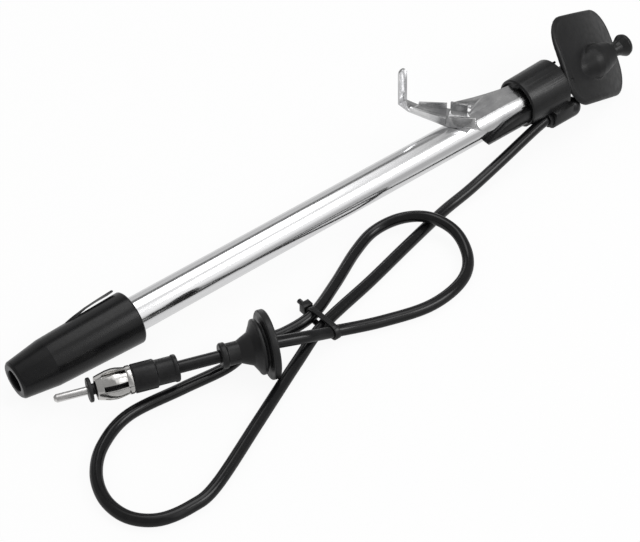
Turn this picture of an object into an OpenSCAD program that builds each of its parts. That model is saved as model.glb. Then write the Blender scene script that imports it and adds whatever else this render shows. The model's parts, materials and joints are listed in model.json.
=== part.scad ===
// Retractable car wing antenna lying on a flat surface, mast pushed in.
// The antenna's own axis is +X: drain boot at the low end, mast knob at the high end.
// It is drawn level from the boot's small end, then laid down by lay().

/* [Protective tube] */
// Outer diameter of the bright tube
tube_d = 13.4; // [12:0.1:15]
// Wall of the bright tube
tube_wall = 0.8; // [0.5:0.1:1]
// Length of the bright tube
tube_len = 230; // [180:1:280]
// Wall of the insulating liner inside the tube
liner_wall = 0.9; // [0.6:0.1:1]

/* [Drain boot] */
// Overall length of the boot
boot_len = 49.5; // [42:0.5:60]
// Outer diameter at the boot's mouth
boot_d = 20.8; // [18.5:0.1:21.3]
// Outer diameter where the short taper ends
boot_waist_d = 18.4; // [17.5:0.1:18.5]
// Outer diameter at the small end
boot_tip_d = 14.6; // [13:0.1:16]
// Length of the short taper
boot_taper = 14; // [10:0.5:18]
// Diameter of the drain hole
drain_d = 8.2; // [6:0.1:9]
// How far the tube is pushed into the boot
tube_inset = 30; // [24:0.5:33]
// Thickness of the boot's moulded leaf latch
latch_t = 0.7; // [0.5:0.1:1]
// Length of the leaf latch
latch_len = 21; // [16:0.5:26]

/* [Mast] */
// Wall of the spring bush between the liner and the largest mast section
first_bush_t = 0.9; // [0.7:0.05:1.1]
// Wall of the spring bushes inside the mast sections
bush_t = 0.35; // [0.3:0.05:0.4]
// Wall of the mast sections
mast_wall = 0.4; // [0.3:0.05:0.45]
// Length of the spring bush at the foot of each section
bush_len = 7; // [5:0.5:10]
// Length of the rolled-in lip at the head of each section
lip_len = 3; // [2:0.5:5]
// Step between the ends of neighbouring sections when pushed in
nest_step = 1; // [0.6:0.1:2]
// Diameter of the knob on the rod
knob_d = 10; // [9:0.1:12]
// Height of the knob's head with its rounded face
knob_head = 3.6; // [2.5:0.1:5]

/* [Collar and cable outlet] */
// Length of the collar
collar_len = 20.5; // [18:0.5:26]
// Outer diameter of the collar at the tube side
collar_d = 21; // [19.4:0.1:22]
// Outer diameter of the collar at the mast side
collar_top_d = 22.4; // [19.6:0.1:23]
// How far the collar grips the tube
collar_grip = 9.5; // [8:0.5:10]
// Wall of the collar's rim round the saddle of the bracket
collar_rim = 1.1; // [0.8:0.1:1.2]
// Depth of the recess in that rim
collar_recess = 3; // [2:0.5:4]
// Outer diameter of the cable outlet
outlet_d = 8.6; // [8:0.1:9]
// Sideways place of the outlet's axis
outlet_y = -8.6; // [-9:0.1:-8]
// Height of the outlet's axis below the mast axis
outlet_z = -8.2; // [-8.6:0.1:-8]
// Distance of the outlet's mouth from the collar's rim
outlet_set = 10.8; // [9:0.1:12]
// Length of the outlet
outlet_len = 16.5; // [13:0.1:19]

/* [Neck] */
// Wall of the threaded neck
neck_wall = 1.1; // [0.9:0.1:1.4]
// Width of the lock ring round the neck
ring_w = 2; // [1.4:0.1:2.6]
// Thickness of the lock ring
ring_t = 2; // [1.5:0.1:2.4]
// Thickness of the claw washer
washer_t = 1; // [0.6:0.1:1.2]
// How far the claws stand out from the neck
claw_out = 2.8; // [2.3:0.1:3.3]

/* [Bracket] */
// Reach of the bracket down the tube from the collar
bracket_len = 42.8; // [38:0.1:46]
// Sideways reach of the bracket's plate
bracket_w = 24; // [20:0.5:28]
// Thickness of the folded steel sheet
sheet_t = 1; // [0.8:0.1:1.2]
// Height of the near flange beside the tube
flange_h = 5.5; // [4:0.1:7]
// Height of the far tab
tab_h = 4.9; // [3.5:0.1:6]
// Height of the flanges on the narrow part at their outer end
toe_h = 2.5; // [2:0.1:4]
// Width of the end tongue and its hook
hook_w = 4; // [3:0.1:5]
// Height of the upright hook over the plate's underside
hook_h = 17.3; // [10:0.1:22]

/* [Wing seal] */
// Length of the seal pad across the mast
pad_u = 39; // [34:0.5:41]
// Length of the seal pad along the slope
pad_v = 50.5; // [44:0.5:52]
// Corner radius of the pad
pad_r = 12; // [7:0.5:13]
// Thickness of the pad's web
pad_t = 2.4; // [2:0.1:3]
// Depth of the pad's rim
pad_rim = 4.2; // [3.6:0.1:5]
// Wall of the rim
pad_rim_wall = 3; // [2:0.1:4]
// Radius of the pad's crown
pad_crown = 130; // [90:5:300]
// Wall of the dome round the neck, where it is widest
dome_wall = 2.5; // [2.1:0.1:3.3]
// Wall of the dome round the mast at its mouth
dome_lip = 1; // [0.9:0.1:1.5]

/* [Cable] */
// Outer diameter of the aerial cable
cable_d = 4.6; // [4:0.1:4.8]
// Diameter of the ferrule in the outlet's mouth
ferrule_d = 6.4; // [6:0.1:7]
// Diameter of the core lead inside the collar
lead_d = 1; // [0.6:0.1:1.2]

/* [Grommet] */
// Diameter of the grommet's flange
grommet_d = 25.8; // [23:0.1:26]
// Thickness of the flange
grommet_flange = 2.7; // [2:0.1:3]
// Width of the panel groove
groove_w = 1.3; // [1:0.1:1.6]
// Diameter in the panel groove
groove_d = 17; // [14:0.1:19]
// Largest diameter of the cone
cone_d = 20.6; // [19:0.1:22]
// Length from the groove to the thin end of the cone
cone_len = 8.2; // [6:0.1:10]
// Diameter of the grommet's neck
grommet_neck_d = 8.3; // [7.4:0.1:9]
// Length of the neck
grommet_neck = 4.3; // [3:0.1:6]
// Diameter of the end bead
bead_d = 9.6; // [8.6:0.1:10.4]
// Width of the end bead
bead_w = 2.6; // [2:0.1:4]

/* [Plug] */
// Diameter of the plug's rubber sleeve
sleeve_d = 10.6; // [10:0.1:11]
// Length of the sleeve
sleeve_len = 16.5; // [14:0.1:18]
// Diameter of the slotted shell at its bulge
shell_d = 11.2; // [10.4:0.1:11.6]
// Length of the shell outside the sleeve
shell_len = 13.1; // [12:0.1:15]
// Number of slots in the shell
shell_slots = 6; // [4:1:8]
// Width of a slot
slot_w = 1.9; // [1:0.1:2.2]
// Diameter of the disc on the centre pin
disc_d = 8.9; // [8:0.1:9.4]
// Diameter of the centre pin
pin_d = 3; // [2.6:0.1:3.4]
// Length of the centre pin in front of its disc
pin_len = 12; // [9:0.1:13]

/* [Cable tie] */
// Width of the tie's band
tie_w = 2.2; // [1.6:0.1:3]
// Thickness of the band
tie_t = 0.8; // [0.6:0.1:0.9]
// Size of the tie's square head
tie_head = 4; // [3.4:0.1:4.6]

/* [Hidden] */

// Fineness of the curves
fine = 64;
small = 32;
// Length by which a cut runs past a face
past = 1;

// Fits
run = 0.05;
seat = 0.1;
sheet_gap = 0.6;

// How the antenna lies: slope of its axis and the place of the boot's small end
lay_tilt = 2.5;
lay_x = -154.2;
lay_y = -5.9;
lay_z = boot_waist_d / 2 * cos(lay_tilt) - boot_taper * sin(lay_tilt);

// Stations along the antenna
tube_r = tube_d / 2;
bore_r = tube_r - tube_wall;
liner_r = bore_r - run;
liner_bore = liner_r - liner_wall;
s1_r = liner_bore - run - first_bush_t;
s1_bore = s1_r - mast_wall;
s2_r = s1_bore - run - bush_t;
s2_bore = s2_r - mast_wall;
s3_r = s2_bore - run - bush_t;
s3_bore = s3_r - mast_wall;
rod_r = s3_bore - run - bush_t;
tube_x0 = boot_len - tube_inset;
tube_x1 = tube_x0 + tube_len;
collar_x0 = tube_x1 - collar_grip;
collar_x1 = collar_x0 + collar_len;

// Seal: the pad's middle, where the mast passes through it, and how it is turned
seal_set = 26;
seal_x = collar_x1 + seal_set;
seal_y = 1.9;
seal_z = 1.6;
seal_turn = [-36, 45, -103];
dome_reach = 7.2;
dome_x1 = seal_x + dome_reach;

// Stack inside the collar, from the tube's end outward
guide_len = 6.5;
guide_flange = 3.5;
contact_len = 3;
contact_wall = 1.1;
insulator_gap = 0.5;
neck_flange = 2;
neck_back = 18;
guide_x0 = tube_x1 - guide_len;
contact_x0 = tube_x1 + guide_flange;
neck_x0 = contact_x0 + contact_len + insulator_gap;
neck_x1 = seal_x - neck_back;
neck_r = s1_r + 2 * run + neck_wall;
ring_r = neck_r + ring_w;

// Mast, each section one step longer than the one round it
mast_foot = 11;
s1_x0 = tube_x0 + mast_foot;
s2_x0 = s1_x0 + 3 * nest_step;
s3_x0 = s2_x0 + 3 * nest_step;
rod_x0 = s3_x0 + 3 * nest_step;
s1_x1 = dome_x1 - 3 * nest_step;
s2_x1 = s1_x1 + nest_step;
s3_x1 = s2_x1 + nest_step;
knob_gap = 0.7;
knob_x0 = dome_x1 + knob_gap;
knob_stem = 6.4;
knob_x1 = knob_x0 + knob_stem + knob_head;
knob_cap = 3;

// Outlet beside the collar
outlet_r = outlet_d / 2;
outlet_x0 = collar_x0 + outlet_set;
cable_r = cable_d / 2;

// Grommet on the cable: middle of the flange and its heading
grommet_x = -75.7;
grommet_y = -49.5;
grommet_yaw = 162;

// Plug: open end of the sleeve and its heading
plug_x = -107.1;
plug_y = -39.3;
plug_z = 12.9;
plug_yaw = 162;

// Cable tie: where it crosses the three strands
tie_x = -47.2;
tie_pts = [[-39.9, 3.6], [-46.4, 3.3], [-52.5, 4.5]];

// Cable route, [x, y, height of the middle], from inside the outlet to inside the plug
route = [
    [99.4, -14.5, 11.4], [91.1, -14.9, 11], [65.5, -19.4, 7.2], [46.8, -22.1, 3.9], [29.9, -24.6, 2.4],
    [5.8, -31.2, 2.4], [-18.2, -38.2, 2.5], [-47.2, -46.4, 3.3], [-66.2, -55, 2.4],
    [-94.4, -69.7, 2.4], [-122.7, -84.2, 2.4], [-134.7, -86.5, 2.4], [-146.2, -84.5, 2.4],
    [-153.7, -77.3, 2.4], [-155.7, -66.5, 2.4], [-151.9, -54.9, 2.4], [-142.9, -45.3, 2.4],
    [-128.2, -39.1, 2.4], [-106.2, -40.2, 2.4], [-87.2, -41.4, 2.4], [-73.2, -38.2, 2.4],
    [-60.2, -40.4, 2.6], [-47.2, -39.9, 3.6], [-30.2, -31.4, 2.5], [-12.2, -21.6, 2.4],
    [0.8, -17.3, 3.2], [12.1, -20.3, 5.8], [20, -28.5, 7.5], [23.8, -39.5, 5.4], [19.3, -51.8, 2.8],
    [8.3, -59.8, 2.4], [-9.2, -62.3, 2.4], [-29.2, -57.8, 2.8], [-47.2, -52.5, 4.5],
    [-60.2, -52.7, 9.8], [-74.2, -50, 12.9], [-84.2, -46.7, 12.9], [-95.9, -42.9, 12.9],
    [-107.1, -39.3, 12.9], [-112.8, -37.4, 12.9]];
route_sides = 10;
route_steps = 2;

// Moves a child from the antenna's own axes to where it lies
module lay() {
    translate([lay_x, lay_y, lay_z]) rotate([0, -lay_tilt, 0]) children();
}

// Turns a child drawn along +Z to lie along +X from station x
module along(x) {
    translate([x, 0, 0]) rotate([0, 90, 0]) children();
}

// Revolves an outline of [radius, station] points about the antenna's axis
module turned(points, faces = fine) {
    rotate([0, 90, 0]) rotate_extrude($fn = faces) polygon(points);
}

// Tube along the antenna's axis
module pipe(x0, x1, outer, inner) {
    turned([[inner, x0], [outer, x0], [outer, x1], [inner, x1]]);
}

module protective_tube() {
    color("gainsboro") lay() pipe(tube_x0, tube_x1, tube_r, bore_r);
}

liner_x0 = tube_x0 + 1.5;
liner_x1 = guide_x0 - 0.5;

module insulating_liner() {
    color("white") lay() pipe(liner_x0, liner_x1, liner_r, liner_bore);
}

boot_r = boot_d / 2;
waist_r = boot_waist_d / 2;
tip_r = boot_tip_d / 2;
drain_r = drain_d / 2;
drain_lip = 6;
boot_edge = 0.8;
boot_rim = 0.6;
latch_turn = -50;
latch_gap = 0.9;
latch_w = 5;
latch_root = 3;
latch_x0 = boot_taper + 12;

// Thin leaf beside the boot, joined at its root and free at its thicker tip
module latch() {
    leaf_r = boot_r - 0.3 + latch_gap;
    rotate([latch_turn, 0, 0]) {
        translate([latch_x0, -latch_w / 2, leaf_r]) cube([latch_len, latch_w, latch_t]);
        translate([latch_x0, -latch_w / 2, waist_r - 0.5])
            cube([latch_root, latch_w, leaf_r - waist_r + 0.6]);
        translate([latch_x0 + latch_len, -latch_w / 2, leaf_r + latch_t / 2])
            rotate([-90, 0, 0]) cylinder(r = latch_t * 0.9, h = latch_w, $fn = small);
    }
}

module drain_boot() {
    color("dimgray") lay() {
        turned([[drain_r, 0], [tip_r - boot_edge, 0], [tip_r, boot_edge], [waist_r, boot_taper],
            [boot_r, boot_len - boot_rim], [boot_r - boot_rim, boot_len], [tube_r, boot_len],
            [tube_r, tube_x0], [bore_r - 0.5, tube_x0], [bore_r - 0.5, drain_lip + 1], [drain_r, drain_lip]]);
        latch();
    }
}

// Underside of the bracket's plate, just clear of the tube
plate_z = tube_r + seat;
slit = 0.8;

// Upright wall of bent sheet inside the edge from p to q, a slit short of both ends.
// Its height goes from h0 to h1.
module flange(p, q, h0, h1) {
    run_len = norm(q - p) - 2 * slit;
    turn = atan2(q[1] - p[1], q[0] - p[0]);
    translate([p[0], p[1], plate_z]) rotate([0, 0, turn]) translate([slit, -run, 0]) rotate([90, 0, 0])
        linear_extrude(sheet_t) polygon([[0, 0], [run_len, 0], [run_len, h1], [0, h0]]);
}

// Point of the bracket's plan: u of its reach down the tube, v of its sideways reach
function plan(u, v) = [collar_x0 - u * bracket_len, v * bracket_w];
saddle_u = 0.61;
near_a = plan(0.68, -0.33);
near_b = plan(0.87, 0.05);
near_c = plan(1, 0.78);
far_a = plan(0.575, 0.07);
far_b = plan(0.69, 0.36);
far_c = plan(0.875, 0.8);
bend_far = plan(0.61, 0.45);
plate_x = collar_x0 - sheet_t;
hook_x = collar_x0 - bracket_len;

module bracket_plate() {
    translate([0, 0, plate_z]) linear_extrude(sheet_t) polygon([
        [plate_x, 0], [plate_x, 0.17 * bracket_w], plan(0.14, 0.2), plan(0.28, 0.26), plan(0.4, 0.32),
        bend_far, plan(0.52, 0.15), plan(0.55, 0.09), far_a, far_b, far_c, [hook_x + hook_w, bracket_w],
        [hook_x, bracket_w], near_c, near_b, near_a, plan(saddle_u, -0.17), plan(saddle_u, 0)]);
}

// Half-pipe over the tube, its lower edge rising and dipping as the sheet was cut
module saddle() {
    end = plan(saddle_u, 0)[0];
    edge = [[0, 0.72], [0.05, 0.49], [0.15, 0.27], [0.25, 0.24], [0.34, 0.31], [0.46, 0.48], [0.72, 0.57],
        [1.04, 0.6], [1.2, 0.6], [1.2, 2], [0, 2]];
    intersection() {
        pipe(end, collar_x0 + collar_recess - 0.5, tube_r + sheet_t, tube_r);
        rotate([90, 0, 0]) linear_extrude(tube_d) polygon([for (p = edge)
            [end + p[0] * (collar_x0 - end), p[1] * tube_r]]);
    }
}

module hook() {
    translate([hook_x, bracket_w, plate_z]) cube([hook_w, sheet_t, hook_h - hook_w / 2]);
    translate([hook_x + hook_w / 2, bracket_w + sheet_t, plate_z + hook_h - hook_w / 2])
        rotate([90, 0, 0]) cylinder(r = hook_w / 2, h = sheet_t, $fn = small);
}

module mounting_bracket() {
    color("lightgray") lay() {
        bracket_plate();
        saddle();
        flange(near_a, near_b, flange_h, flange_h - 0.4);
        flange(near_b, near_c, flange_h - 1.4, toe_h);
        flange(far_b, far_a, tab_h, tab_h);
        flange(far_c, far_b, toe_h, tab_h - 1);
        hook();
    }
}

shell_t = 2.5;
shell_len_under = 24;

// Insulating shell between collar and tube, with a tongue that runs down the tube
module clamp_shell() {
    color("dimgray") lay() intersection() {
        pipe(collar_x0 - shell_len_under, collar_x0, tube_r + shell_t, tube_r);
        rotate([90, 0, 0]) linear_extrude(tube_d) polygon([
            [collar_x0 - shell_len_under, -2.6], [collar_x0 - 21, -6.4], [collar_x0 - 16, -7.2],
            [collar_x0 - 12, -tube_d], [collar_x0, -tube_d], [collar_x0, 2.4],
            [collar_x0 - 7, 2.2], [collar_x0 - 14, 1.4], [collar_x0 - 17, 0.4], [collar_x0 - 20, -0.6]]);
    }
}

collar_r = collar_d / 2;
collar_top_r = collar_top_d / 2;
collar_edge = 0.5;
ferrule_out = 1.6;
ferrule_in = 2.8;
outlet_bore = ferrule_d / 2;
outlet_wall = 2.4;
cable_gap = 0.3;
outlet_root = outlet_x0 + outlet_len - outlet_r;

// Cable outlet beside the collar, with a rounded far end and a flat-topped root
module outlet() {
    translate([0, outlet_y, outlet_z]) {
        along(outlet_x0) cylinder(r = outlet_r, h = outlet_len - outlet_r, $fn = fine);
        translate([outlet_root, 0, 0]) sphere(r = outlet_r, $fn = fine);
    }
    translate([outlet_x0, outlet_y - outlet_r, outlet_z])
        cube([collar_x1 - outlet_x0, outlet_r + 4, -outlet_z - 3.4]);
}

module head_collar() {
    color("#2c2c2e") lay() difference() {
        union() {
            turned([[0, collar_x0], [collar_r - collar_edge, collar_x0], [collar_r, collar_x0 + collar_edge],
                [collar_top_r, collar_x1 - collar_edge], [collar_top_r - collar_edge, collar_x1],
                [0, collar_x1]]);
            outlet();
        }
        along(collar_x0 - past) cylinder(r = collar_r - collar_rim, h = collar_recess + past, $fn = fine);
        along(collar_x0 - past)
            cylinder(r = tube_r, h = neck_x0 + neck_flange + seat + past - collar_x0, $fn = fine);
        along(collar_x0) cylinder(r = neck_r, h = collar_len + past, $fn = fine);
        translate([0, outlet_y, outlet_z]) along(outlet_x0 - past)
            cylinder(r = outlet_bore, h = past + outlet_len - outlet_r - outlet_wall + 1, $fn = small);
        translate([0, outlet_y, outlet_z]) {
            along(outlet_x0 - ferrule_out - seat)
                cylinder(r = outlet_bore + seat, h = ferrule_out + seat, $fn = small);
            along(collar_x0 - past) cylinder(r = cable_r + cable_gap, h = outlet_set + past, $fn = small);
        }
        lead_hole(lead_d / 2 + seat);
    }
}

lead_x = contact_x0 + contact_len / 2;
cable_end = outlet_x0 + ferrule_in;

// Lead from the cable's end along the outlet, then across to the contact sleeve
module lead_hole(r) {
    reach = norm([outlet_y, outlet_z]) - s1_r - run - contact_wall;
    translate([0, outlet_y, outlet_z]) along(cable_end) cylinder(r = r, h = lead_x - cable_end, $fn = small);
    translate([lead_x, outlet_y, outlet_z]) rotate([180 - atan2(outlet_y, outlet_z), 0, 0]) {
        cylinder(r = r, h = reach, $fn = small);
        sphere(r = r, $fn = small);
    }
}

module core_lead() {
    color("peru") lay() lead_hole(lead_d / 2);
}

module mast_bush() {
    color("ivory") lay() turned([[s1_r + run, guide_x0], [bore_r - run, guide_x0], [bore_r - run, tube_x1],
        [tube_r - run, tube_x1], [tube_r - run, contact_x0], [s1_r + run, contact_x0]]);
}

module contact_sleeve() {
    color("goldenrod") lay() difference() {
        pipe(contact_x0, contact_x0 + contact_len, s1_r + run + contact_wall, s1_r + run);
        translate([contact_x0 - past, -sheet_gap / 2, 0]) cube([contact_len + 2 * past, sheet_gap, tube_r]);
    }
}

module neck_tube() {
    color("darkgray") lay() turned([[s1_r + 2 * run, neck_x0], [tube_r - run, neck_x0],
        [tube_r - run, neck_x0 + neck_flange], [neck_r, neck_x0 + neck_flange], [neck_r, neck_x1],
        [s1_r + 2 * run, neck_x1]]);
}

module lock_ring() {
    color("#3a3a3c") lay() difference() {
        along(collar_x1 + seat) cylinder(r = ring_r, h = ring_t, $fn = fine);
        along(collar_x1) cylinder(r = neck_r, h = ring_t + past, $fn = fine);
        for (turn = [0 : 90 : 270]) rotate([turn, 0, 0])
            translate([collar_x1, -sheet_gap, ring_r - 0.8]) cube([ring_t + past, 2 * sheet_gap, past]);
    }
}

washer_x0 = collar_x1 + ring_t + 2 * seat;
claw_turn = -50;
claw_w = 4;
claw_reach = 3;
// How far into the washer's ring a claw starts
claw_bed = 0.6;
claw_gap = 0.4;

// Claw bent up from the washer, to bite into the underside of the wing
module claw() {
    foot = neck_r + claw_bed;
    tip = neck_r + claw_out;
    translate([washer_x0, claw_w / 2, 0]) rotate([90, 0, 0]) linear_extrude(claw_w) polygon([
        [0, foot], [washer_t, foot], [washer_t, tip - washer_t], [claw_reach, tip - washer_t],
        [claw_reach, tip], [0, tip]]);
}

module claw_washer() {
    color("#3a3a3c") lay() difference() {
        union() {
            along(washer_x0) cylinder(r = neck_r + 1.4, h = washer_t, $fn = fine);
            for (turn = [0 : 120 : 240]) rotate([claw_turn + turn, 0, 0]) claw();
        }
        along(washer_x0 - past) cylinder(r = neck_r, h = washer_t + 2 * past, $fn = fine);
    }
}

// Rounded rectangle of the pad, drawn in by inset
module pad_plan(inset) {
    r = pad_r - inset;
    half_u = pad_u / 2 - pad_r;
    half_v = pad_v / 2 - pad_r;
    square([2 * half_u + 2 * r, 2 * half_v], center = true);
    square([2 * half_u, 2 * half_v + 2 * r], center = true);
    for (u = [-1, 1]) for (v = [-1, 1]) translate([u * half_u, v * half_v]) circle(r = r, $fn = fine);
}

crown_steps = 8;
// Height of the crowned face at radius r
function crown(r) = sqrt(pad_crown * pad_crown - r * r) - pad_crown;

// Soft pad with a crowned face, a hollow back and a rim that seals on the wing
module pad() {
    translate([seal_x, seal_y, seal_z]) rotate(seal_turn) difference() {
        intersection() {
            translate([0, 0, -pad_rim]) linear_extrude(2 * pad_rim) pad_plan(0);
            rotate_extrude($fn = 2 * fine) polygon(concat([[0, -2 * pad_rim], [pad_u, -2 * pad_rim]],
                [for (i = [crown_steps : -1 : 0])
                    [pad_u * i / crown_steps, crown(pad_u * i / crown_steps)]]));
        }
        translate([0, 0, -pad_rim - past]) linear_extrude(pad_rim + past - pad_t) pad_plan(pad_rim_wall);
    }
}

dome_r = neck_r + dome_wall;
dome_top_r = s1_r + dome_lip;
dome_x0 = dome_x1 - 21;

module dome() {
    turned([[0, dome_x0], [dome_top_r + 0.2, dome_x0], [dome_top_r + 0.6, dome_x0 + 3],
        [dome_r - 0.3, dome_x0 + 8.4], [dome_r, dome_x0 + 11], [dome_r - 0.5, dome_x0 + 14],
        [dome_top_r + 0.3, dome_x1 - 0.9], [dome_top_r - 0.3, dome_x1], [0, dome_x1]]);
}

module fender_seal() {
    color("#404042") lay() difference() {
        union() {
            pad();
            dome();
        }
        along(collar_x1)
            cylinder(r = neck_r + claw_out + claw_gap, h = washer_x0 + claw_reach + claw_gap - collar_x1,
                $fn = fine);
        along(collar_x1) cylinder(r = neck_r + seat, h = neck_x1 + past - collar_x1, $fn = fine);
        along(neck_x1) cylinder(r = s1_r + 3 * run, h = dome_x1 + past - neck_x1, $fn = fine);
    }
}

// Mast section: thin tube with its head rolled in to guide the next one
module section(x0, x1, outer, inner, guide) {
    turned([[inner, x0], [outer, x0], [outer, x1 - 0.4], [outer - 0.4, x1], [guide + run, x1],
        [guide + run, x1 - lip_len], [inner, x1 - lip_len]]);
}

// Split brass bush that rides in the bore of the section round it
module spring_bush(x0, inner, bore) {
    difference() {
        turned([[inner, x0], [bore - run, x0], [bore - run, x0 + bush_len], [inner, x0 + bush_len]]);
        for (turn = [0 : 90 : 270]) rotate([turn, 0, 0])
            translate([x0 + bush_len / 3, -sheet_gap / 2, 0]) cube([bush_len, sheet_gap, bore + past]);
    }
}

module mast_section_1() {
    color("silver") lay() section(s1_x0, s1_x1, s1_r, s1_bore, s2_r);
}

module spring_bush_1() {
    color("goldenrod") lay() spring_bush(s1_x0, s1_r, liner_bore);
}

module mast_section_2() {
    color("silver") lay() section(s2_x0, s2_x1, s2_r, s2_bore, s3_r);
}

module spring_bush_2() {
    color("goldenrod") lay() spring_bush(s2_x0, s2_r, s1_bore);
}

module mast_section_3() {
    color("silver") lay() section(s3_x0, s3_x1, s3_r, s3_bore, rod_r);
}

module spring_bush_3() {
    color("goldenrod") lay() spring_bush(s3_x0, s3_r, s2_bore);
}

module mast_rod() {
    color("silver") lay() along(rod_x0) cylinder(r = rod_r, h = knob_x1 - knob_cap - rod_x0, $fn = fine);
}

module spring_bush_4() {
    color("goldenrod") lay() spring_bush(rod_x0, rod_r, s3_bore);
}

knob_r = knob_d / 2;
knob_wall = 1.3;
knob_waist = rod_r + knob_wall;

module mast_knob() {
    color("#303033") lay() turned([[rod_r, knob_x0], [knob_waist, knob_x0],
        [knob_waist, knob_x0 + 0.36 * knob_stem], [knob_waist + 0.5, knob_x0 + 0.64 * knob_stem],
        [knob_r - 0.3, knob_x1 - knob_head], [knob_r, knob_x1 - knob_head + 0.6],
        [knob_r - 0.4, knob_x1 - 1.7], [knob_r - 2, knob_x1 - 0.4], [0, knob_x1],
        [0, knob_x1 - knob_cap], [rod_r, knob_x1 - knob_cap]]);
}

module cable_ferrule() {
    color("#1c1c1e") lay() translate([0, outlet_y, outlet_z])
        pipe(outlet_x0 - ferrule_out, outlet_x0 + ferrule_in, outlet_bore, cable_r);
}

// Point between p1 and p2 at t on the smooth curve through four route points
function between(p0, p1, p2, p3, t) =
    0.5 * (2 * p1 + (p2 - p0) * t + (2 * p0 - 5 * p1 + 4 * p2 - p3) * t * t
        + (3 * p1 - p0 - 3 * p2 + p3) * t * t * t);
function route_at(i) = route[min(max(i, 0), len(route) - 1)];
line = [for (i = [0 : len(route) - 2]) for (k = [0 : route_steps - 1])
    between(route_at(i - 1), route_at(i), route_at(i + 1), route_at(i + 2), k / route_steps),
    route[len(route) - 1]];
function heading(i) = line[min(i + 1, len(line) - 1)] - line[max(i - 1, 0)];
function unit(v) = v / norm(v);
function side(i) = unit(cross(heading(i), [0, 0, 1]));
function lift(i) = unit(cross(side(i), heading(i)));
function ring_point(i, k) = line[i] + cable_r * (cos(360 * k / route_sides) * side(i)
    + sin(360 * k / route_sides) * lift(i));

module antenna_cable() {
    n = len(line);
    points = [for (i = [0 : n - 1]) for (k = [0 : route_sides - 1]) ring_point(i, k)];
    skin = [for (i = [0 : n - 2]) for (k = [0 : route_sides - 1])
        [i * route_sides + k, i * route_sides + (k + 1) % route_sides,
            (i + 1) * route_sides + (k + 1) % route_sides, (i + 1) * route_sides + k]];
    first = [for (k = [route_sides - 1 : -1 : 0]) k];
    last = [for (k = [0 : route_sides - 1]) (n - 1) * route_sides + k];
    color("#2a2a2c") polyhedron(points, concat(skin, [first, last]));
}

// Loop of the tie round the strands, drawn in the plane across them
module tie_loop(r) {
    hull() for (p = tie_pts) translate([p[0], p[1]]) circle(r = r, $fn = small);
}

tie_side = [tie_pts[0][0] + cable_r + 0.3, tie_pts[0][1] + 0.6];

module cable_tie() {
    color("#202022") translate([tie_x + tie_w / 2, 0, 0]) rotate([90, 0, 90]) translate([0, 0, -tie_w]) {
        linear_extrude(tie_w) difference() {
            tie_loop(cable_r + tie_t);
            tie_loop(cable_r);
        }
        translate([tie_side[0], tie_side[1] - tie_head / 2, (tie_w - tie_head) / 2])
            cube([tie_head - 1, tie_head, tie_head]);
        translate([tie_side[0] + tie_head - 1.5, tie_side[1], tie_w / 2]) rotate([0, 90, 0])
            cylinder(r = 1, h = 3.4, $fn = small);
    }
}

// Lies a child drawn along +Z flat, heading yaw, from a point
module head_to(point, yaw) {
    translate(point) rotate([0, 90, yaw]) children();
}

grommet_r = grommet_d / 2;
groove_x = grommet_flange / 3;
cone_x = groove_x + groove_w;
cone_x1 = cone_x + cone_len;
bead_x = cone_x1 + grommet_neck;

module grommet() {
    color("#38383a") head_to([grommet_x, grommet_y, grommet_r], grommet_yaw)
        rotate_extrude($fn = fine) polygon([
            [cable_r, groove_x - grommet_flange], [grommet_r - 0.5, groove_x - grommet_flange],
            [grommet_r, groove_x - grommet_flange + 0.5], [grommet_r, groove_x - 0.4],
            [grommet_r - 0.4, groove_x], [groove_d / 2, groove_x], [groove_d / 2, cone_x],
            [cone_d / 2 - 0.4, cone_x], [cone_d / 2, cone_x + 0.4], [cone_d / 2, cone_x + 1.4],
            [cone_d / 2 - 1.2, cone_x + 2], [grommet_neck_d / 2 + 0.6, cone_x1 - 1.2],
            [grommet_neck_d / 2, cone_x1], [grommet_neck_d / 2, bead_x], [bead_d / 2, bead_x + 0.5],
            [bead_d / 2, bead_x + bead_w - 0.5], [bead_d / 2 - 0.5, bead_x + bead_w],
            [cable_r, bead_x + bead_w]]);
}

module plug() {
    head_to([plug_x, plug_y, plug_z], plug_yaw) children();
}

sleeve_r = sleeve_d / 2;
sleeve_step = 7.7;
sleeve_tail_r = sleeve_r - 0.6;
crimp_wall = 0.7;
crimp_x0 = 2;

module plug_sleeve() {
    color("#1c1c1e") plug() rotate_extrude($fn = fine) polygon([
        [cable_r, 0], [sleeve_tail_r, 0], [sleeve_tail_r + 0.3, 0.4], [sleeve_tail_r + 0.3, 1.4],
        [sleeve_tail_r, 1.8], [sleeve_tail_r, sleeve_step], [sleeve_r, sleeve_step + 0.6],
        [sleeve_r, sleeve_len - 0.4], [sleeve_r - 0.4, sleeve_len], [cable_r + crimp_wall, sleeve_len],
        [cable_r + crimp_wall, crimp_x0], [cable_r, crimp_x0]]);
}

module braid_crimp() {
    color("silver") plug() rotate_extrude($fn = fine) polygon([
        [cable_r, crimp_x0], [cable_r + crimp_wall, crimp_x0],
        [cable_r + crimp_wall, sleeve_len], [cable_r, sleeve_len]]);
}

shell_r = shell_d / 2;
shell_ring = 2.1;
shell_wall = 0.8;
shell_x1 = sleeve_len + shell_len;
slot_x0 = sleeve_len + shell_ring;
slot_len = shell_len - shell_ring - 2.4;
core_r = shell_r - shell_wall - 0.7;

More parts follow.
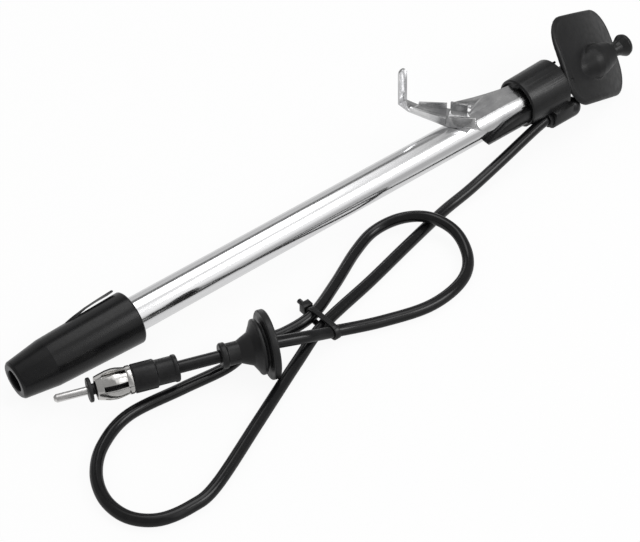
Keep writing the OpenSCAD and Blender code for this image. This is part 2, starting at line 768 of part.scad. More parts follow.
// Sprung outer contact: a ring behind and bowed leaves between the slots
module plug_shell() {
    color("silver") plug() difference() {
        rotate_extrude($fn = fine) polygon([
            [core_r, sleeve_len], [sleeve_r - 0.4, sleeve_len], [sleeve_r - 0.1, sleeve_len + 0.4],
            [sleeve_r - 0.1, slot_x0 - 0.5], [shell_r - 0.7, slot_x0],
            [shell_r - 0.1, slot_x0 + 3], [shell_r, slot_x0 + 4.6], [shell_r - 0.3, slot_x0 + 7],
            [shell_r - 1.1, shell_x1 - 1], [shell_r - 1.4, shell_x1], [core_r, shell_x1]]);
        for (turn = [0 : 360 / shell_slots : 359]) rotate([0, 0, turn])
            translate([0, -slot_w / 2, slot_x0]) cube([shell_r + past, slot_w, slot_len]);
    }
}

disc_gap = 1.5;
disc_t = 1.4;
pin_x0 = shell_x1 + disc_gap + disc_t;

module plug_insulator() {
    color("#1c1c1e") plug() rotate_extrude($fn = fine) polygon([
        [pin_d / 2, sleeve_len + seat], [core_r, sleeve_len + seat], [core_r, shell_x1],
        [core_r - 0.6, shell_x1 + 0.3], [core_r - 0.6, shell_x1 + disc_gap],
        [pin_d / 2, shell_x1 + disc_gap]]);
}

module plug_pin() {
    color("lightgray") plug() rotate_extrude($fn = fine) polygon([
        [0, sleeve_len + 4], [pin_d / 2, sleeve_len + 4], [pin_d / 2, shell_x1 + disc_gap],
        [disc_d / 2 - 0.2, shell_x1 + disc_gap], [disc_d / 2, shell_x1 + disc_gap + 0.2],
        [disc_d / 2, pin_x0 - 0.2], [disc_d / 2 - 0.2, pin_x0], [pin_d / 2, pin_x0],
        [pin_d / 2, pin_x0 + pin_len - 0.9], [pin_d / 4, pin_x0 + pin_len], [0, pin_x0 + pin_len]]);
}

protective_tube();
insulating_liner();
drain_boot();
mounting_bracket();
clamp_shell();
head_collar();
mast_bush();
contact_sleeve();
core_lead();
neck_tube();
lock_ring();
claw_washer();
fender_seal();
mast_section_1();
spring_bush_1();
mast_section_2();
spring_bush_2();
mast_section_3();
spring_bush_3();
mast_rod();
spring_bush_4();
mast_knob();
cable_ferrule();
antenna_cable();
cable_tie();
grommet();
plug_sleeve();
braid_crimp();
plug_shell();
plug_insulator();
plug_pin();
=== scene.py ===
import json
import math

import bmesh
import bpy
from mathutils import Matrix, Vector, noise

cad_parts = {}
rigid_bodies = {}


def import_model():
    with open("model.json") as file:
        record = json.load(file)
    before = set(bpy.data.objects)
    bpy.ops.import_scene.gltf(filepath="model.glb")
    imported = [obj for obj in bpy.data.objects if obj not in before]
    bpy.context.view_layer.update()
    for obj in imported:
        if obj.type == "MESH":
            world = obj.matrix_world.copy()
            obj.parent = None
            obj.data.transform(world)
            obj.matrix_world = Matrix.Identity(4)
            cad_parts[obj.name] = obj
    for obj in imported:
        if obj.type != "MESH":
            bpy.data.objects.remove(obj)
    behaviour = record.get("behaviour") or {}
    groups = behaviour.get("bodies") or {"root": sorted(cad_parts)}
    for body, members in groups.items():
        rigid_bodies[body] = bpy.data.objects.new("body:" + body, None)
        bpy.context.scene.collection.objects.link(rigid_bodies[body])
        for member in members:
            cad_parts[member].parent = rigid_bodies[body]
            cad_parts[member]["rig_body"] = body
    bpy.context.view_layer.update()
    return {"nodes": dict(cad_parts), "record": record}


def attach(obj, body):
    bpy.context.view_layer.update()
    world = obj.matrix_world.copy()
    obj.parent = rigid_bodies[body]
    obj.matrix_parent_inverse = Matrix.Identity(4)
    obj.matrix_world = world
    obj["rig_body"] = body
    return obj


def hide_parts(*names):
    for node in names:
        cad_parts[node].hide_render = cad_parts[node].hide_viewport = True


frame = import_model()
nodes = frame["nodes"]
SLOTS = {row["node"]: row["material_slot"] for row in frame["record"]["subparts"]}
MM = 0.001

# Camera, fitted to the tube, the boot and the cable's loops
AZIMUTH, ELEVATION = math.radians(-37.962), math.radians(42.794)
DISTANCE, LENS, SENSOR = 0.6549, 95.62, 36.0
LOOK = Vector((-0.02812, -0.01976, 0.0))
LEVEL = math.cos(ELEVATION)
BACK = Vector((math.sin(AZIMUTH) * LEVEL, -math.cos(AZIMUTH) * LEVEL, math.sin(ELEVATION)))
camera = bpy.data.objects.new("camera", bpy.data.cameras.new("camera"))
camera.data.lens, camera.data.sensor_width = LENS, SENSOR
camera.data.clip_start, camera.data.clip_end = 0.01, 10
camera.location = LOOK + BACK * DISTANCE
camera.rotation_euler = (-BACK).to_track_quat("-Z", "Y").to_euler()
bpy.context.scene.collection.objects.link(camera)
bpy.context.scene.camera = camera

# Sizes in millimetres, as in part.scad
TUBE_X0, TUBE_X1, TUBE_R, BORE_R = 19.5, 249.5, 6.7, 5.9
BOOT_LEN, BOOT_R, TIP_R, DRAIN_R = 49.5, 10.4, 7.3, 4.1
WAIST_X, WAIST_R = 14, 9.2
KNOB_X0, KNOB_CAP_X, KNOB_X1, KNOB_R, KNOB_WAIST, ROD_R = 294.4, 301.4, 304.4, 5, 2.9, 1.6
CABLE_R, GROMMET_R, PIN_R = 2.3, 12.9, 1.5

# The antenna's frame, placed in metres: +X runs up the tube from the boot's tip, whose waist is on the floor
TILT = math.radians(2.5)
LAY_X, LAY_Y = -0.1542, -0.0059
LAY_Z = (WAIST_R * math.cos(TILT) - WAIST_X * math.sin(TILT)) * MM
LAY = Matrix.Translation((LAY_X, LAY_Y, LAY_Z)) @ Matrix.Rotation(-TILT, 4, "Y")

# The cable's end is level, as high as the grommet's flange holds it, and points this way
END_YAW = math.radians(162)


def on_end(x, y):
    """A frame on the cable's end, its +X towards the plug's tip."""
    return Matrix.Translation((x * MM, y * MM, GROMMET_R * MM)) @ Matrix.Rotation(END_YAW, 4, "Z")


PLUG = on_end(-107.1, -39.3)
GROMMET = on_end(-75.7, -49.5)

# The cable's route, as in part.scad, in millimetres
ROUTE = [
    (99.4, -14.5, 11.4), (91.1, -14.9, 11), (65.5, -19.4, 7.2), (46.8, -22.1, 3.9), (29.9, -24.6, 2.4),
    (5.8, -31.2, 2.4), (-18.2, -38.2, 2.5), (-47.2, -46.4, 3.3), (-66.2, -55, 2.4),
    (-94.4, -69.7, 2.4), (-122.7, -84.2, 2.4), (-134.7, -86.5, 2.4), (-146.2, -84.5, 2.4),
    (-153.7, -77.3, 2.4), (-155.7, -66.5, 2.4), (-151.9, -54.9, 2.4), (-142.9, -45.3, 2.4),
    (-128.2, -39.1, 2.4), (-106.2, -40.2, 2.4), (-87.2, -41.4, 2.4), (-73.2, -38.2, 2.4),
    (-60.2, -40.4, 2.6), (-47.2, -39.9, 3.6), (-30.2, -31.4, 2.5), (-12.2, -21.6, 2.4),
    (0.8, -17.3, 3.2), (12.1, -20.3, 5.8), (20, -28.5, 7.5), (23.8, -39.5, 5.4), (19.3, -51.8, 2.8),
    (8.3, -59.8, 2.4), (-9.2, -62.3, 2.4), (-29.2, -57.8, 2.8), (-47.2, -52.5, 4.5),
    (-60.2, -52.7, 9.8), (-74.2, -50, 12.9), (-84.2, -46.7, 12.9), (-95.9, -42.9, 12.9),
    (-107.1, -39.3, 12.9), (-112.8, -37.4, 12.9)]
ROUTE_STEPS = 10

# The jacket's sides, the share by which its thickness wavers, and how often it does
CABLE_SIDES, WAVER, WAVES_PER_METRE = 24, 0.006, 90

# Fillets: how much of a side one may take, the least bend and cut that get one, and its steps
SIDE_SHARE, LEAST_BEND, LEAST_CUT, FILLET_STEPS = 0.45, math.radians(4), 1e-4, 4
# A lathe's point with a smaller radius than this is on the axis
ON_AXIS = 1e-6
# Edges sharper than this many degrees stay sharp in the shading of each kind of mesh
LATHE_CREASE, CAD_CREASE, SKIN_CREASE = 38, 35, 60

# CAD meshes: points this near are one, faces this flat are one, and edges this sharp are rounded
WELD, FLAT_ANGLE, SHARP_ANGLE = 2e-6, math.radians(0.6), math.radians(30)


def link(name, mesh):
    piece = bpy.data.objects.new(name, mesh)
    bpy.context.scene.collection.objects.link(piece)
    return piece


def shade(mesh, degrees):
    """Smooth shading, but for edges sharper than these degrees."""
    for face in mesh.polygons:
        face.use_smooth = True
    mesh.set_sharp_from_angle(angle=math.radians(degrees))


def finish_mesh(name, bm, degrees=LATHE_CREASE):
    bmesh.ops.recalc_face_normals(bm, faces=bm.faces)
    mesh = bpy.data.meshes.new(name)
    bm.to_mesh(mesh)
    bm.free()
    shade(mesh, degrees)
    return link(name, mesh)


def bridge(bm, a, b):
    """Faces between two rings, either of which may be a single point."""
    count = max(len(a), len(b))
    if count == 1:
        return
    for k in range(count):
        j = (k + 1) % count
        if len(a) == 1:
            bm.faces.new((a[0], b[j], b[k]))
        elif len(b) == 1:
            bm.faces.new((a[k], a[j], b[0]))
        else:
            bm.faces.new((a[k], a[j], b[j], b[k]))


def smooth_route(points, steps):
    """A smooth curve through points in millimetres, as points in metres."""
    spots = [Vector(point) for point in points]
    last = len(spots) - 1
    curve = []
    for i in range(last):
        before, start, end, after = (spots[min(max(i + k, 0), last)] for k in (-1, 0, 1, 2))
        bend = 2 * before - 5 * start + 4 * end - after
        twist = 3 * start - before - 3 * end + after
        for k in range(steps):
            t = k / steps
            curve.append(0.5 * (2 * start + (end - before) * t + bend * t * t + twist * t ** 3))
    curve.append(spots[-1])
    return [spot * MM for spot in curve]


def tube(name, path, radius):
    """A jacket along a path, its thickness slightly uneven."""
    bm = bmesh.new()
    rings = []
    for i, spot in enumerate(path):
        along = (path[min(i + 1, len(path) - 1)] - path[max(i - 1, 0)]).normalized()
        side = along.cross(Vector((0, 0, 1))).normalized()
        up = side.cross(along)
        r = radius * (1 + WAVER * noise.noise(spot * WAVES_PER_METRE))
        turns = (2 * math.pi * k / CABLE_SIDES for k in range(CABLE_SIDES))
        rings.append([bm.verts.new(spot + (side * math.cos(a) + up * math.sin(a)) * r) for a in turns])
    for a, b in zip(rings, rings[1:]):
        bridge(bm, a, b)
    bm.faces.new(reversed(rings[0]))
    bm.faces.new(rings[-1])
    return finish_mesh(name, bm, SKIN_CREASE)


def rounded(profile, radius, closed):
    """The (x, r) points of a profile, with its corners filleted."""
    count = len(profile)
    out = []
    for i, point in enumerate(profile):
        corner = Vector(point)
        if not closed and i in (0, count - 1):
            out.append(corner)
            continue
        back, ahead = Vector(profile[i - 1]) - corner, Vector(profile[(i + 1) % count]) - corner
        bend = math.pi - back.angle(ahead)
        cut = min(radius * math.tan(bend / 2), SIDE_SHARE * back.length, SIDE_SHARE * ahead.length)
        if bend < LEAST_BEND or cut < LEAST_CUT:
            out.append(corner)
            continue
        start, end = corner + back / back.length * cut, corner + ahead / ahead.length * cut
        for k in range(FILLET_STEPS + 1):
            t = k / FILLET_STEPS
            out.append(start * (1 - t) ** 2 + corner * 2 * t * (1 - t) + end * t * t)
    return out


def lathe_into(bm, profile, matrix, segments=96, radius=0.25, closed=True):
    """Turns a profile of (x, r) points in millimetres round the matrix's +X axis."""
    rings = []
    for x, r in rounded(profile, radius, closed):
        if r < ON_AXIS:
            rings.append([bm.verts.new(matrix @ Vector((x * MM, 0, 0)))])
            continue
        turns = (2 * math.pi * k / segments for k in range(segments))
        spots = (Vector((x * MM, r * MM * math.cos(a), r * MM * math.sin(a))) for a in turns)
        rings.append([bm.verts.new(matrix @ spot) for spot in spots])
    for a, b in zip(rings, rings[1:]):
        bridge(bm, a, b)
    if closed:
        bridge(bm, rings[-1], rings[0])


def lathe(name, profile, matrix, **options):
    bm = bmesh.new()
    lathe_into(bm, profile, matrix, **options)
    return finish_mesh(name, bm)


def bar_into(bm, outline, half_width, matrix, edge):
    """A bar with the outline (x, z) in millimetres, its edges rounded."""
    sides = [[bm.verts.new(matrix @ (Vector((x, y, z)) * MM)) for x, z in outline]
             for y in (-half_width, half_width)]
    faces = [bm.faces.new(sides[0]), bm.faces.new(reversed(sides[1]))]
    count = len(outline)
    for k in range(count):
        j = (k + 1) % count
        faces.append(bm.faces.new((sides[0][j], sides[0][k], sides[1][k], sides[1][j])))
    edges = list({e for face in faces for e in face.edges})
    bmesh.ops.bevel(bm, geom=edges, offset=edge * MM, segments=2, profile=0.5, affect="EDGES")


def apply_modifiers(piece):
    bpy.context.view_layer.update()
    view = bpy.context.evaluated_depsgraph_get()
    made = bpy.data.meshes.new_from_object(piece.evaluated_get(view))
    piece.modifiers.clear()
    old, piece.data = piece.data, made
    bpy.data.meshes.remove(old)


def soften(name, node, width, segments=2):
    """A copy of a CAD node with its hard edges rounded, the width in millimetres."""
    mesh = nodes[node].data.copy()
    mesh.materials.clear()
    bm = bmesh.new()
    bm.from_mesh(mesh)
    bmesh.ops.remove_doubles(bm, verts=bm.verts, dist=WELD)
    bmesh.ops.dissolve_limit(bm, angle_limit=FLAT_ANGLE, verts=bm.verts, edges=bm.edges)
    bm.to_mesh(mesh)
    bm.free()
    piece = link(name, mesh)
    bevel = piece.modifiers.new("edge", "BEVEL")
    bevel.width, bevel.segments, bevel.limit_method = width * MM, segments, "ANGLE"
    bevel.angle_limit, bevel.harden_normals, bevel.miter_outer = SHARP_ANGLE, False, "MITER_ARC"
    apply_modifiers(piece)
    shade(piece.data, CAD_CREASE)
    return piece


def reskin(piece, voxel, rounds):
    """Gives a piece an even skin, with its edges rubbed round."""
    grid = piece.modifiers.new("grid", "REMESH")
    grid.mode, grid.voxel_size, grid.adaptivity = "VOXEL", voxel * MM, 0
    even = piece.modifiers.new("even", "SMOOTH")
    even.iterations, even.factor = rounds, 0.5
    apply_modifiers(piece)
    shade(piece.data, SKIN_CREASE)


# Nodes of materials
def node_of(tree, kind, **inputs):
    made = tree.nodes.new(kind)
    for key, value in inputs.items():
        made.inputs[key.replace("_", " ")].default_value = value
    return made


def scale_noise(tree, coords, scale, detail=3, stretch=None):
    """Noise with so many waves a metre, drawn out along the antenna where stretch says."""
    grain = node_of(tree, "ShaderNodeTexNoise", Scale=scale, Detail=detail, Roughness=0.55)
    if stretch:
        mapping = node_of(tree, "ShaderNodeMapping", Rotation=(0, TILT, 0), Scale=stretch)
        tree.links.new(coords, mapping.inputs["Vector"])
        coords = mapping.outputs["Vector"]
    tree.links.new(coords, grain.inputs["Vector"])
    return grain.outputs["Fac"]


def to_range(tree, value, low, high, start=0.3, end=0.7, curve="LINEAR"):
    """A level that goes from low to high as the value goes from start to end."""
    span = tree.nodes.new("ShaderNodeMapRange")
    span.interpolation_type = curve
    for key, number in zip(("From Min", "From Max", "To Min", "To Max"), (start, end, low, high)):
        span.inputs[key].default_value = number
    tree.links.new(value, span.inputs["Value"])
    return span.outputs["Result"]


def eased(tree, value, start, end, low=0, high=1):
    """A level as to_range makes it, with a soft start and end."""
    return to_range(tree, value, low, high, start, end, "SMOOTHSTEP")


def feed(tree, socket, value):
    """Sets a socket to a value, or links it to another node's socket."""
    if isinstance(value, bpy.types.NodeSocket):
        tree.links.new(value, socket)
    else:
        socket.default_value = value


def worked(tree, operation, a, b):
    """One step of arithmetic with two levels, each a number or a socket."""
    made = tree.nodes.new("ShaderNodeMath")
    made.operation = operation
    feed(tree, made.inputs[0], a)
    feed(tree, made.inputs[1], b)
    return made.outputs[0]


def mixed(tree, factor, a, b, kind="FLOAT"):
    """A blend of two levels or colours, each a value or a socket."""
    made = tree.nodes.new("ShaderNodeMix")
    made.data_type = kind
    for key, value in (("Factor", factor), ("A", a), ("B", b)):
        feed(tree, made.inputs[key], value)
    return made.outputs["Result"]


def split_axes(tree, coords):
    """The X, Y and Z of a kind of texture coordinates."""
    split = tree.nodes.new("ShaderNodeSeparateXYZ")
    tree.links.new(tree.nodes.new("ShaderNodeTexCoord").outputs[coords], split.inputs[0])
    return split.outputs


# The gloss changes over shorter lengths than the colour does, by this factor
GLOSS_FINER = 3.1
# Blender's Pointiness where the painted edge highlight begins to show, and where it is full
HIGHLIGHT_POINTINESS = (0.52, 0.6)


def surface(name, colour, other, rough, bump, metallic=0.0, specular=0.5, scale=260, stretch=None,
            bump_scale=1500, bump_depth=0.05, edge_highlight=None):
    """Procedural material: its colour, roughness and relief vary over the surface, and its edges may carry a
    painted highlight.
    """
    material = bpy.data.materials.new(name)
    material.use_nodes = True
    tree = material.node_tree
    shader = tree.nodes["Principled BSDF"]
    for key, value in (("Metallic", metallic), ("IOR", 1.5), ("Specular IOR Level", specular)):
        shader.inputs[key].default_value = value
    coords = tree.nodes.new("ShaderNodeTexCoord").outputs["Object"]
    broad = scale_noise(tree, coords, scale, detail=4, stretch=stretch)
    tint = mixed(tree, to_range(tree, broad, 0, 1), (*colour, 1), (*other, 1), "RGBA")
    # Sharp edges get a lighter colour here: a painted highlight, not wear
    if edge_highlight:
        edge = tree.nodes.new("ShaderNodeNewGeometry").outputs["Pointiness"]
        tint = mixed(tree, to_range(tree, edge, 0, 1, *HIGHLIGHT_POINTINESS), tint, (*edge_highlight, 1), "RGBA")
    tree.links.new(tint, shader.inputs["Base Color"])
    fine = scale_noise(tree, coords, scale * GLOSS_FINER, stretch=stretch)
    tree.links.new(to_range(tree, fine, *rough), shader.inputs["Roughness"])
    grain = scale_noise(tree, coords, bump_scale, stretch=stretch)
    relief = node_of(tree, "ShaderNodeBump", Strength=bump, Distance=bump_depth * MM)
    tree.links.new(grain, relief.inputs["Height"])
    tree.links.new(relief.outputs["Normal"], shader.inputs["Normal"])
    return material


def grey(level, blue=0.0005):
    """A grey, with this much more blue."""
    return (level, level, level + blue)


# Drawn metal's grain runs along the tube, where its coordinates are scaled by this
DRAWN = (0.03, 1, 1)
DARK_METAL = dict(
    colour=grey(0.02, 0.001), other=grey(0.05, 0.002), metallic=0.6, rough=(0.3, 0.5), bump=0.15)
# Finishes by material slot: two colours, roughness and relief. Scales are in waves a metre, depths in mm
FINISHES = {
    "bright_tube": dict(
        colour=grey(0.86, 0.005), other=grey(0.79, 0.01), metallic=1, rough=(0.12, 0.19), scale=900,
        stretch=DRAWN, bump=0.05, bump_scale=900, bump_depth=0.02),
    "mast_chrome": dict(
        colour=grey(0.86, 0.01), other=grey(0.78, 0.02), metallic=1, rough=(0.05, 0.12), scale=1200,
        stretch=DRAWN, bump=0.04, bump_depth=0.01),
    "bracket_steel": dict(
        colour=grey(0.82, 0), other=grey(0.56, 0.01), metallic=1, rough=(0.14, 0.24), scale=130,
        bump=0.16, bump_scale=110, bump_depth=0.25),
    "boot_plastic": dict(
        colour=grey(0.005), other=grey(0.008), rough=(0.22, 0.3), specular=0.27, scale=300,
        bump=0.12, bump_scale=1400, bump_depth=0.02),
    "shell_plastic": dict(
        colour=grey(0.005), other=grey(0.008), rough=(0.3, 0.4), specular=0.3, bump=0.12, bump_depth=0.02),
    "collar_plastic": dict(
        colour=grey(0.006), other=grey(0.01), rough=(0.26, 0.34), specular=0.36,
        bump=0.15, bump_scale=2200, bump_depth=0.02),
    "ring_metal": DARK_METAL,
    "neck_metal": DARK_METAL,
    # The seal's edges get a lighter grey: a painted highlight along its rim
    "seal_rubber": dict(
        colour=grey(0.006), other=grey(0.01), edge_highlight=grey(0.05, 0.001), rough=(0.38, 0.5), specular=0.32,
        scale=120, bump=0.3, bump_scale=1800, bump_depth=0.04),
    "knob_plastic": dict(
        colour=grey(0.008), other=grey(0.013), rough=(0.26, 0.36), specular=0.36, bump=0.1),
    "ferrule_rubber": dict(
        colour=grey(0.01), other=(0.0175, 0.0175, 0.018175), rough=(0.4, 0.55), specular=0.35, bump=0.15),
    "cable_jacket": dict(
        colour=grey(0.005), other=grey(0.009), rough=(0.14, 0.21), specular=0.34, scale=420,
        bump=0.05, bump_scale=700, bump_depth=0.04),
    "tie_nylon": dict(
        colour=grey(0.006), other=grey(0.011), rough=(0.26, 0.36), specular=0.36, bump=0.1),
    "grommet_rubber": dict(
        colour=grey(0.009), other=grey(0.014), rough=(0.32, 0.44), specular=0.36, scale=160,
        bump=0.3, bump_scale=1700, bump_depth=0.04),
    "sleeve_rubber": dict(
        colour=grey(0.006), other=grey(0.012), rough=(0.28, 0.4), specular=0.32, bump=0.15),
    "plug_nickel": dict(
        colour=(0.82, 0.81, 0.79), other=(0.68, 0.67, 0.65), metallic=1, rough=(0.1, 0.22), scale=500,
        bump=0.1, bump_depth=0.02),
    "insulator_plastic": dict(
        colour=grey(0.01), other=(0.0175, 0.0175, 0.018175), rough=(0.35, 0.5), specular=0.4, bump=0.1),
    "pin_nickel": dict(
        colour=(0.84, 0.83, 0.82), other=(0.7, 0.69, 0.68), metallic=1, rough=(0.12, 0.24), scale=500,
        bump=0.1, bump_depth=0.02),
    "liner_plastic": dict(
        colour=(0.72, 0.71, 0.66), other=(0.8, 0.79, 0.75), rough=(0.4, 0.55), bump=0.1),
    "contact_brass": dict(
        colour=(0.78, 0.56, 0.22), other=(0.62, 0.42, 0.16), metallic=1, rough=(0.15, 0.3), bump=0.1),
    "core_copper": dict(
        colour=(0.8, 0.42, 0.26), other=(0.65, 0.32, 0.18), metallic=1, rough=(0.18, 0.32), bump=0.1),
}
MATERIALS = {name: surface(name, **finish) for name, finish in FINISHES.items()}


def dress(piece, node):
    """Gives a new piece the material and body of the node that it stands for."""
    slot = SLOTS[node]
    piece.data.materials.clear()
    piece.data.materials.append(MATERIALS[slot])
    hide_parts(node)
    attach(piece, nodes[node]["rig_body"])
    return piece


# Every CAD node shows its slot's material
for node_name, node_object in nodes.items():
    if not node_object.material_slots:
        node_object.data.materials.append(None)
    for material_slot in node_object.material_slots:
        material_slot.material = MATERIALS[SLOTS[node_name]]

# Cable
cable_path = smooth_route(ROUTE, ROUTE_STEPS)
cable = dress(tube("cable", cable_path, CABLE_R * MM), "antenna_cable")

# Grommet: flange, groove, cone, neck and bead
grommet_profile = [
    (-1.8, CABLE_R), (-1.8, 12.4), (-1.3, GROMMET_R), (0.5, GROMMET_R), (0.9, 12.5), (0.9, 8.5), (2.2, 8.5),
    (2.2, 9.9), (2.6, 10.3), (3.6, 10.3), (4.2, 9.1), (6.0, 6.2), (9.2, 4.75), (10.4, 4.15), (14.7, 4.15),
    (15.2, 4.8), (16.8, 4.8), (17.3, 4.3), (17.3, CABLE_R)]
grommet = dress(lathe("grommet_body", grommet_profile, GROMMET, radius=0.5), "grommet")

# Plug: sleeve, slotted shell, pin, and the insulator with its disc
sleeve_profile = [
    (0, CABLE_R), (0, 4.7), (0.4, 5), (1.4, 5), (1.8, 4.7), (7.7, 4.7), (8.3, 5.3), (16.1, 5.3), (16.5, 4.9),
    (16.5, 3), (2, 3), (2, CABLE_R)]
sleeve = dress(lathe("sleeve_body", sleeve_profile, PLUG, radius=0.3), "plug_sleeve")
shell = dress(soften("shell_body", "plug_shell", width=0.12), "plug_shell")
pin_profile = [(20.5, 0), (20.5, PIN_R), (43.6, PIN_R), (44.5, PIN_R / 2), (44.5, 0)]
pin = dress(lathe("pin_body", pin_profile, PLUG, radius=0.2, closed=False, segments=64), "plug_pin")
insulator_profile = [
    (17, PIN_R), (17, 2.6), (29.6, 2.6), (30, 2), (31.1, 2), (31.1, 4.2), (31.35, 4.45), (32.2, 4.45),
    (32.5, 4.1), (32.3, 2.9), (32.5, PIN_R)]
insulator = dress(lathe("insulator_body", insulator_profile, PLUG, radius=0.2), "plug_insulator")

# Tie
tie = dress(soften("tie_body", "cable_tie", width=0.18), "cable_tie")

# Bright tube
tube_profile = [(TUBE_X0, BORE_R), (TUBE_X0, TUBE_R), (TUBE_X1, TUBE_R), (TUBE_X1, BORE_R)]
dress(lathe("tube_body", tube_profile, LAY, segments=160, radius=0.15), "protective_tube")

# Drain boot
BOOT_BORE, BOOT_SEAT_R, BOOT_SEAT_X = 6.72, 5.4, 7
boot_profile = [
    (0, DRAIN_R), (0, 6.5), (0.8, TIP_R), (WAIST_X, WAIST_R), (48.9, BOOT_R), (BOOT_LEN, 9.8),
    (BOOT_LEN, BOOT_BORE), (TUBE_X0, BOOT_BORE), (TUBE_X0, BOOT_SEAT_R), (BOOT_SEAT_X, BOOT_SEAT_R),
    (6, DRAIN_R)]
# Side view of the leaf latch along the boot: its root, the thin leaf and the bead at its tip
LATCH = [
    (26, 9), (31, 9.3), (33, 10), (36, 10.45), (41, 10.85), (46.5, 11.15), (47.1, 11), (47.6, 11.4),
    (47.1, 11.95), (41, 11.6), (35, 11.1), (30, 10.4), (26, 9.5)]
LATCH_HALF_WIDTH, LATCH_EDGE, LATCH_TURN = 2.5, 0.15, math.radians(-50)
LATCH_FRAME = LAY @ Matrix.Rotation(LATCH_TURN, 4, "X")
boot_mesh = bmesh.new()
lathe_into(boot_mesh, boot_profile, LAY, segments=128, radius=0.7)
bar_into(boot_mesh, LATCH, LATCH_HALF_WIDTH, LATCH_FRAME, LATCH_EDGE)
dress(finish_mesh("boot_body", boot_mesh), "drain_boot")

# Collar, clamp shell, bracket, ring and washer, with the width and the steps of their rounded edges
for piece_name, node_name, width, segments in (
        ("collar_body", "head_collar", 0.35, 2),
        ("clamp_body", "clamp_shell", 0.3, 2),
        ("bracket_body", "mounting_bracket", 0.28, 3),
        ("ring_body", "lock_ring", 0.2, 2),
        ("claw_body", "claw_washer", 0.2, 2)):
    dress(soften(piece_name, node_name, width, segments), node_name)

# Wing seal. The pad's own frame, placed in metres in the antenna's: its face looks along +Z
SEAL_PLACE = (0.2865, 0.0019, 0.0016)
SEAL_ROLL, SEAL_PITCH, SEAL_YAW = (math.radians(turn) for turn in (-36, 45, -103))
PAD = (LAY @ Matrix.Translation(SEAL_PLACE) @ Matrix.Rotation(SEAL_YAW, 4, "Z")
       @ Matrix.Rotation(SEAL_PITCH, 4, "Y") @ Matrix.Rotation(SEAL_ROLL, 4, "X"))
# Half its two sides, the radius of its corners and of its domed face, and its rim's height
PAD_HALF, PAD_R, PAD_CROWN, PAD_RIM = (19.5, 25.25), 12, 130, 4.2
# The rim's curve: its width, its share of the rim's height, and how far above the face it still acts
RIM_WIDTH, RIM_SHARE, RIM_REACH = 1.6, 0.5, 0.5
# Section of the pad's soft edge: how far in from the outline, and how far above the face
EDGE = [(0.05, -1.2), (0.05, -0.7), (0.5, -0.1), (1.3, 0.18), (2.6, -0.05), (8, -0.3), (8, -1.2)]
# Steps round a corner of the outline, and the spacing along its sides
CORNER_STEPS, SIDE_PITCH = 12, 3


def crown(x, y):
    """Height of the pad's domed face."""
    return math.sqrt(PAD_CROWN ** 2 - x * x - y * y) - PAD_CROWN


def pad_stations():
    """Corner centres and outward directions, in turn along the pad's outline."""
    turns = []
    for quarter, (side_x, side_y) in enumerate(((1, 1), (-1, 1), (-1, -1), (1, -1))):
        centre = (side_x * (PAD_HALF[0] - PAD_R), side_y * (PAD_HALF[1] - PAD_R))
        for k in range(CORNER_STEPS + 1):
            turn = math.pi / 2 * (quarter + k / CORNER_STEPS)
            turns.append((*centre, math.cos(turn), math.sin(turn)))
    for a, b in zip(turns, turns[1:] + turns[:1]):
        count = max(1, round(math.dist(a[:2], b[:2]) / SIDE_PITCH))
        for k in range(count):
            yield tuple(p + (q - p) * k / count for p, q in zip(a, b))


def soft_edge(piece):
    """Adds a ring of rubber under the edge of the pad's face, with a low bead along it."""
    bm = bmesh.new()
    bm.from_mesh(piece.data)
    rows = []
    for centre_x, centre_y, out_x, out_y in pad_stations():
        row = []
        for inset, rise in EDGE:
            x, y = centre_x + out_x * (PAD_R - inset), centre_y + out_y * (PAD_R - inset)
            row.append(bm.verts.new(PAD @ (Vector((x, y, crown(x, y) + rise)) * MM)))
        rows.append(row)
    for a, b in zip(rows, rows[1:] + rows[:1]):
        for k in range(len(EDGE)):
            j = (k + 1) % len(EDGE)
            bm.faces.new((a[k], b[k], b[j], a[j]))
    bmesh.ops.recalc_face_normals(bm, faces=bm.faces)
    bm.to_mesh(piece.data)
    bm.free()


def round_rim(piece):
    """Turns the edge of the pad's face down in a soft curve."""
    to_pad = PAD.inverted()
    for vert in piece.data.vertices:
        p = to_pad @ vert.co / MM
        past = [abs(p[k]) - PAD_HALF[k] + PAD_R for k in (0, 1)]
        inside = PAD_R - math.hypot(max(past[0], 0), max(past[1], 0)) - min(max(past), 0)
        face = crown(p.x, p.y)
        if inside < RIM_WIDTH and p.z < face + RIM_REACH:
            near = min(1, (RIM_WIDTH - inside) / RIM_WIDTH)
            drop = RIM_SHARE * (face + PAD_RIM)
            p.z = min(p.z, face - drop * (1 - math.sqrt(1 - near * near)))
            vert.co = PAD @ (p * MM)


seal = link("seal_body", nodes["fender_seal"].data.copy())
weld = seal.modifiers.new("weld", "WELD")
weld.merge_threshold = WELD
reskin(seal, voxel=0.35, rounds=2)
round_rim(seal)
soft_edge(seal)
reskin(seal, voxel=0.3, rounds=6)
dress(seal, "fender_seal")

# Knob
knob_profile = [
    (KNOB_X0, ROD_R), (KNOB_X0, KNOB_WAIST), (296.7, KNOB_WAIST), (298.5, 3.4), (300.8, 4.7),
    (KNOB_CAP_X, KNOB_R), (302.7, 4.6), (304, 3), (KNOB_X1, 0), (KNOB_CAP_X, 0), (KNOB_CAP_X, ROD_R)]
dress(lathe("knob_body", knob_profile, LAY, radius=0.6, segments=64), "mast_knob")

# Paper floor. The camera and reflections see this share of it as a plain glow, and the rest as it is lit
GLOW_SHARE = 0.92
# A reflection sees the glow dimmer in front of the antenna: where along Y it changes, and the levels
PAPER_FALL, PAPER_LEVELS = (-0.055, -0.022), (0.44, 0.76)


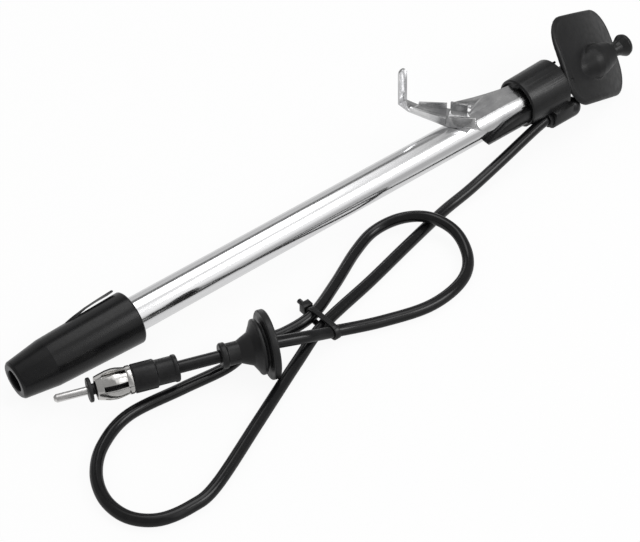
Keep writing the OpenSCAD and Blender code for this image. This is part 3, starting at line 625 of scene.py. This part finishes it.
def paper_material():
    material = bpy.data.materials.new("paper")
    material.use_nodes = True
    tree = material.node_tree
    shader = tree.nodes["Principled BSDF"]
    for key, value in (("Base Color", (0.9, 0.9, 0.9, 1)), ("Roughness", 0.9), ("Specular IOR Level", 0.1)):
        shader.inputs[key].default_value = value
    ray = tree.nodes.new("ShaderNodeLightPath").outputs
    reflected = eased(tree, split_axes(tree, "Object")["Y"], *PAPER_FALL, *PAPER_LEVELS)
    glow = tree.nodes.new("ShaderNodeEmission")
    tree.links.new(mixed(tree, ray["Is Glossy Ray"], 1, reflected), glow.inputs["Strength"])
    seen = worked(tree, "MAXIMUM", ray["Is Camera Ray"], ray["Is Glossy Ray"])
    blend = tree.nodes.new("ShaderNodeMixShader")
    share = worked(tree, "MULTIPLY", seen, GLOW_SHARE)
    for socket, source in zip(blend.inputs, (share, shader.outputs[0], glow.outputs[0])):
        tree.links.new(source, socket)
    tree.links.new(blend.outputs[0], tree.nodes["Material Output"].inputs["Surface"])
    return material


def floor_sheet():
    grid = bmesh.new()
    bmesh.ops.create_grid(grid, x_segments=2, y_segments=2, size=3)
    mesh = bpy.data.meshes.new("floor")
    grid.to_mesh(mesh)
    grid.free()
    mesh.materials.append(paper_material())
    return link("floor", mesh)


floor_sheet()

# Studio. AMBIENT lights the object, and reflections see STUDIO, or ROOM past the ends of the panels.
AMBIENT, ROOM = 0.72, 0.32
# STUDIO's levels run by the angle round the antenna's axis, from the far horizon over the top to the near
# one: backdrop, a dark gap, the top panel, a seam, the front panel, the room.
STUDIO = [
    (0, 0.6), (36, 0.6), (44, 0.14), (56, 0.14), (64, 1), (98, 0.95), (105, 0.84), (112, 0.84), (119, 1),
    (160, 1), (171, 0.7), (179, 0.5)]
SEAM = (math.radians(102), math.radians(112))
# How far along +X each panel reaches: from dark to lit, and from lit to dark
TOP_PANEL = (-0.2, 0.0, 0.48, 0.54)
FRONT_PANEL = (-0.1, 0.1, 0.6, 0.72)


def panel_reach(tree, along, reach):
    """1 where the panel is, and 0 past its ends."""
    return worked(tree, "SUBTRACT", eased(tree, along, *reach[:2]), eased(tree, along, *reach[2:]))


def studio_world():
    world = bpy.data.worlds.new("studio")
    world.use_nodes = True
    tree = world.node_tree
    back = tree.nodes["Background"]
    back.inputs["Color"].default_value = (1, 1, 1, 1)
    way = split_axes(tree, "Generated")
    angle = worked(tree, "ARCTAN2", way["Z"], way["Y"])
    panels = tree.nodes.new("ShaderNodeValToRGB")
    stops = panels.color_ramp.elements
    stops.remove(stops[1])
    for k, (degrees, level) in enumerate(STUDIO):
        stop = stops[0] if k == 0 else stops.new(degrees / 180)
        stop.position, stop.color = degrees / 180, (level, level, level, 1)
    tree.links.new(to_range(tree, angle, 0, 1, 0, math.pi), panels.inputs["Fac"])
    top, front = (panel_reach(tree, way["X"], reach) for reach in (TOP_PANEL, FRONT_PANEL))
    lit = mixed(tree, eased(tree, angle, *SEAM), top, front)
    ray = tree.nodes.new("ShaderNodeLightPath").outputs
    reflected = mixed(tree, ray["Is Glossy Ray"], AMBIENT, mixed(tree, lit, ROOM, panels.outputs["Color"]))
    tree.links.new(mixed(tree, ray["Is Camera Ray"], reflected, 1), back.inputs["Strength"])
    return world


def panel_lamp(name, towards, size, power):
    """A soft panel a metre away, its first side along the antenna, that faces the object."""
    out = Vector(towards).normalized()
    along = (Vector((1, 0, 0)) - out * out.x).normalized()
    light = bpy.data.lights.new(name, "AREA")
    light.shape, light.size, light.size_y, light.energy = "RECTANGLE", size[0], size[1], power
    lamp = bpy.data.objects.new(name, light)
    facing = Matrix((along, out.cross(along), out)).transposed().to_4x4()
    lamp.matrix_world = Matrix.Translation(out) @ facing
    bpy.context.scene.collection.objects.link(lamp)


bpy.context.scene.world = studio_world()
panel_lamp("front_panel", towards=(0.42, -0.58, 0.68), size=(0.5, 0.38), power=2.4)
panel_lamp("top_panel", towards=(0.22, 0.16, 0.94), size=(0.36, 0.7), power=1.2)
bpy.context.scene.view_settings.view_transform = "Standard"
